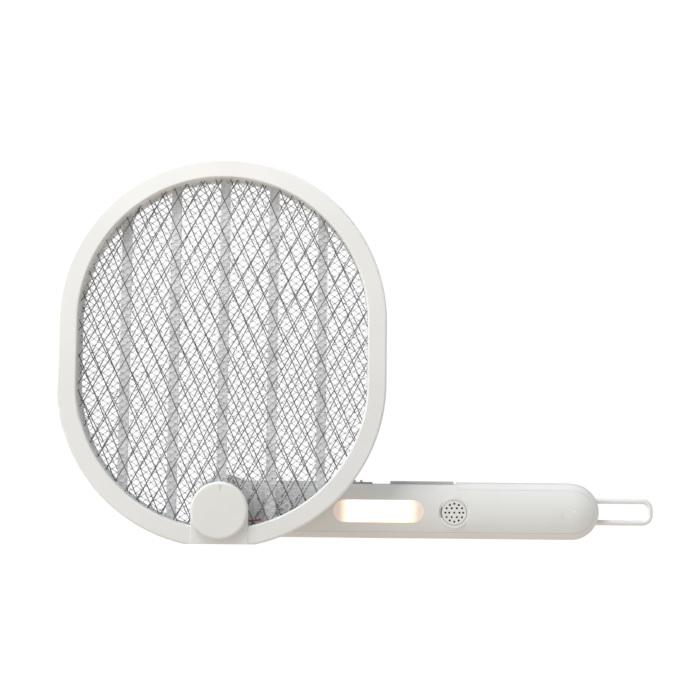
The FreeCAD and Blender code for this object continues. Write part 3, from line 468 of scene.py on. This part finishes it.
def build_live_mesh():
    """Fine expanded mesh: thin strands with a bead at each joint."""
    low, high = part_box("hv_mesh")
    y = (low.y + high.y) / 2
    parts = MeshParts()
    joints = MeshParts()
    diamond_wires(parts, y, LIVE_LATTICE, LIVE_WIRE_R, 0.0, LIVE_WIRE_SIDES)
    half_x, half_z, turn, origin = LIVE_LATTICE
    columns = int(BEAD_REACH[0] / half_x)
    rows = int(BEAD_REACH[1] / half_z)
    for row in range(-rows, rows + 1):
        for column in range(-columns, columns + 1):
            if (row + column) % 2:
                continue
            spot = Vector((column * half_x, row * half_z))
            spot = Matrix.Rotation(-turn, 2) @ spot + Vector(origin)
            clear = (spot - BOSS).length > BOSS_HOLE_R + BEAD_BOSS_GAP
            if clear and in_stadium(spot.x, spot.y, LAYER_R - BEAD_EDGE_GAP):
                centre = Vector((HEAD_X + spot.x, y, HEAD_Z + spot.y))
                joints.bead(centre, BEAD_SIZE)
    strands = parts.build("live_mesh_strands", MATERIALS["live_wire"], smooth=False)
    beads = joints.build("live_mesh_joints", MATERIALS["live_joint"], smooth=False)
    for piece in (strands, beads):
        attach(piece, "head")
        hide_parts("hv_mesh")


# ---- Studio ------------------------------------------------------------------------------
def build_camera():
    data = bpy.data.cameras.new("camera")
    data.lens = LENS
    data.sensor_width = SENSOR_WIDTH
    data.clip_end = VIEW_REACH
    camera = bpy.data.objects.new("camera", data)
    bpy.context.scene.collection.objects.link(camera)
    place = Matrix.Translation(
        Vector((PIVOT.x + CAMERA_RIGHT, BEZEL_FRONT - CAMERA_BACK, CAMERA_HEIGHT))
    )
    tilt = Matrix.Rotation(math.radians(90) + CAMERA_PITCH, 4, "X")
    roll = Matrix.Rotation(CAMERA_ROLL, 4, "Z")
    camera.matrix_world = place @ tilt @ roll
    bpy.context.scene.camera = camera


def tint_unless_seen(tree, path, tint):
    """A tint for the light that reaches the object, and white where the camera looks."""
    mix = tree.nodes.new("ShaderNodeMix")
    mix.data_type = "RGBA"
    ends = [socket for socket in mix.inputs if socket.type == "RGBA"]
    ends[0].default_value = (*tint, 1.0)
    ends[1].default_value = (1.0, 1.0, 1.0, 1.0)
    tree.links.new(path.outputs["Is Camera Ray"], mix.inputs["Factor"])
    return next(out for out in mix.outputs if out.type == "RGBA")


def build_floor():
    """Plain pale floor, large enough to reach the horizon."""
    mesh = bpy.data.meshes.new("floor")
    corners = [(x * FLOOR_HALF, y * FLOOR_HALF, 0) for x, y in FLOOR_CORNERS]
    mesh.from_pydata(corners, [], [(0, 1, 2, 3)])
    floor = bpy.data.objects.new("floor", mesh)
    bpy.context.scene.collection.objects.link(floor)
    material, tree, shader = new_material("floor_paper")
    vary_colour(tree, shader, noise(tree, FLOOR_NOISE), *FLOOR_COLOURS)
    path = tree.nodes.new("ShaderNodeLightPath")
    seen = tree.nodes.new("ShaderNodeMapRange")
    seen.inputs["To Min"].default_value = FLOOR_GLOW
    seen.inputs["To Max"].default_value = FLOOR_SEEN
    tree.links.new(path.outputs["Is Camera Ray"], seen.inputs["Value"])
    tree.links.new(seen.outputs["Result"], shader.inputs["Emission Strength"])
    tree.links.new(tint_unless_seen(tree, path, FLOOR_TINT), shader.inputs["Emission Color"])
    shader.inputs["Roughness"].default_value = FLOOR_ROUGHNESS
    shader.inputs["Specular IOR Level"].default_value = FLOOR_SHINE
    mesh.materials.append(material)


def build_world():
    """White backdrop that lights the object from the sides and above, and shows white."""
    world = bpy.data.worlds.new("studio")
    world.use_nodes = True
    tree = world.node_tree
    background = tree.nodes["Background"]
    place = tree.nodes.new("ShaderNodeTexCoord")
    split = tree.nodes.new("ShaderNodeSeparateXYZ")
    tree.links.new(place.outputs["Generated"], split.inputs["Vector"])
    total = None
    for axis, sign, strength in WORLD_SIDES:
        facing = tree.nodes.new("ShaderNodeMath")
        facing.operation = "MULTIPLY"
        facing.use_clamp = True
        facing.inputs[1].default_value = sign
        tree.links.new(split.outputs[axis], facing.inputs[0])
        share = tree.nodes.new("ShaderNodeMath")
        share.operation = "MULTIPLY_ADD"
        share.inputs[1].default_value = strength
        share.inputs[2].default_value = 0.0
        tree.links.new(facing.outputs["Value"], share.inputs[0])
        if total is not None:
            tree.links.new(total, share.inputs[2])
        total = share.outputs["Value"]
    path = tree.nodes.new("ShaderNodeLightPath")
    tree.links.new(tint_unless_seen(tree, path, WORLD_TINT), background.inputs["Color"])
    seen = tree.nodes.new("ShaderNodeMix")
    seen.inputs["B"].default_value = WORLD_SEEN
    tree.links.new(path.outputs["Is Camera Ray"], seen.inputs["Factor"])
    tree.links.new(total, seen.inputs["A"])
    tree.links.new(seen.outputs["Result"], background.inputs["Strength"])
    bpy.context.scene.world = world


def build_light(name, place, target, size, power):
    data = bpy.data.lights.new(name, "AREA")
    data.shape = "RECTANGLE"
    data.size, data.size_y = size
    data.energy = power
    light = bpy.data.objects.new(name, data)
    bpy.context.scene.collection.objects.link(light)
    light.location = place
    aim = Vector(target) - Vector(place)
    light.rotation_euler = aim.to_track_quat("-Z", "Y").to_euler()


def build_studio():
    scene = bpy.context.scene
    scene.view_settings.view_transform = "Standard"
    build_world()
    build_light("key", KEY_PLACE, KEY_AIM, KEY_SIZE, KEY_POWER)
    build_floor()
    build_camera()


def main():
    paint_cad_nodes()
    build_guard("front_guard_mesh", FRONT_LATTICE)
    build_guard("rear_guard_mesh", REAR_LATTICE)
    build_live_mesh()
    build_studio()


main()
